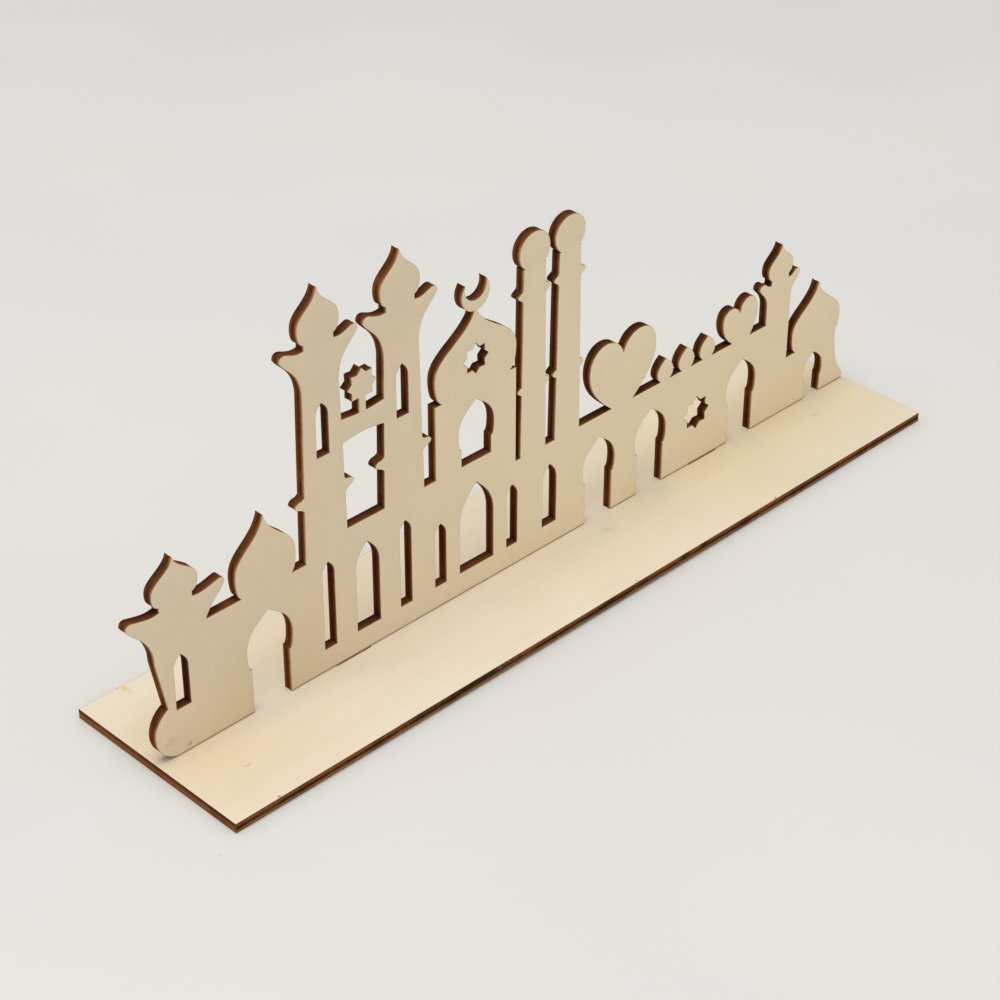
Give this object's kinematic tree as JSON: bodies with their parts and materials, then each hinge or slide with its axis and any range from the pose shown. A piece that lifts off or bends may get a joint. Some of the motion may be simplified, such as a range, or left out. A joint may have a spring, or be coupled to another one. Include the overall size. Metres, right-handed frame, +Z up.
{
  "type": "tabletop skyline decoration",
  "caption": "Free-standing holiday decoration: a fretwork skyline panel of plywood whose tabs plug into the slots of a flat rectangular plywood base.",
  "frame": {"origin": "middle of the base's underside", "axes": "+X along the base, from the turret to the kiosk; +Y from the panel's front to its back; +Z up"},
  "size_m": [0.3065, 0.07, 0.1304],
  "materials": {
    "base_veneer": "bare pale birch veneer, faint grain, satin, brown where the laser cut it",
    "panel_veneer": "bare pale birch veneer, faint grain, satin, brown where the laser cut it",
    "core_ply": "core ply that shows only at the laser-cut edges, burnt dark brown, matt"
  },
  "bodies": {
    "base": {"base_bottom_veneer": "base_veneer", "base_core": "core_ply", "base_top_veneer": "base_veneer"},
    "panel": {"panel_front_veneer": "panel_veneer", "panel_core": "core_ply", "panel_back_veneer": "panel_veneer"}
  },
  "joints": [
    {"name": "panel_lift", "type": "slide", "parent": "base", "child": "panel", "axis": [0, 0, 1], "range_m": [0, 0.03]}
  ]
}
